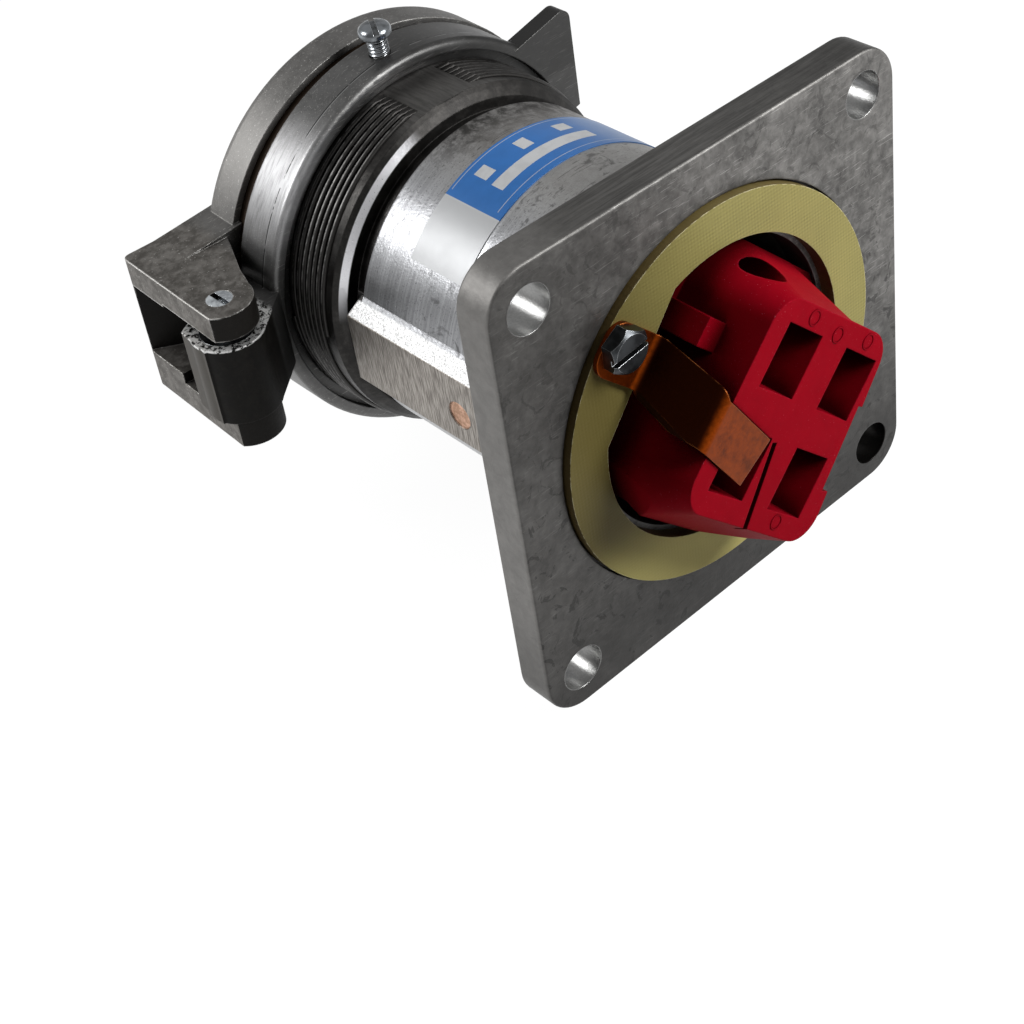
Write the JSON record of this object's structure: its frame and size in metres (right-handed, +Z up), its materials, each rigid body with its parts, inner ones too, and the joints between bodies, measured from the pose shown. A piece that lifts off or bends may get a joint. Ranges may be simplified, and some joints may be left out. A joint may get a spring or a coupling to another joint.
{
  "type": "pin and sleeve receptacle",
  "caption": "Flange-mounted pin and sleeve power receptacle with a sprung door, an insulator with contact cavities and a ground strap.",
  "frame": {"origin": "centre of the flange's mounting face, on the main axis", "axes": "+Y along the main axis towards the wiring side, +Z up with the hinge on the +X side"},
  "size_m": [0.1112, 0.1236, 0.1],
  "materials": {
    "cast_aluminium": "cast, partly machined, mottled",
    "laminate": "woven glass laminate, matt",
    "red_plastic": "moulded, satin",
    "copper": "bare, slightly tarnished",
    "zinc_steel": "zinc plated",
    "foil": "printed foil, satin",
    "gasket_rubber": "soft, matt",
    "spring_steel": "drawn wire"
  },
  "bodies": {
    "receptacle": {"housing": "cast_aluminium", "insulating_washer": "laminate", "insulator_rear": "red_plastic", "insulator_front": "red_plastic", "insulator_screw": "zinc_steel", "ground_strap": "copper", "ground_screw": "zinc_steel", "locating_pin": "copper", "nameplate_foil": "foil", "door_ring": "cast_aluminium", "ring_seal": "gasket_rubber", "ring_screw": "zinc_steel", "hinge_bush": "zinc_steel", "door_spring": "spring_steel"},
    "door": {"spring_door": "cast_aluminium", "door_gasket": "gasket_rubber", "gasket_plate": "zinc_steel", "gasket_screw": "zinc_steel", "hinge_pin": "zinc_steel"}
  },
  "joints": [
    {"name": "door_hinge", "type": "hinge", "parent": "receptacle", "child": "door", "pos_m": [0.0538, -0.078, 0], "axis": [0, 0, 1], "range_deg": [0, 115], "stiffness_Nm_per_rad": 0.15, "springref_deg": -85.94}
  ]
}
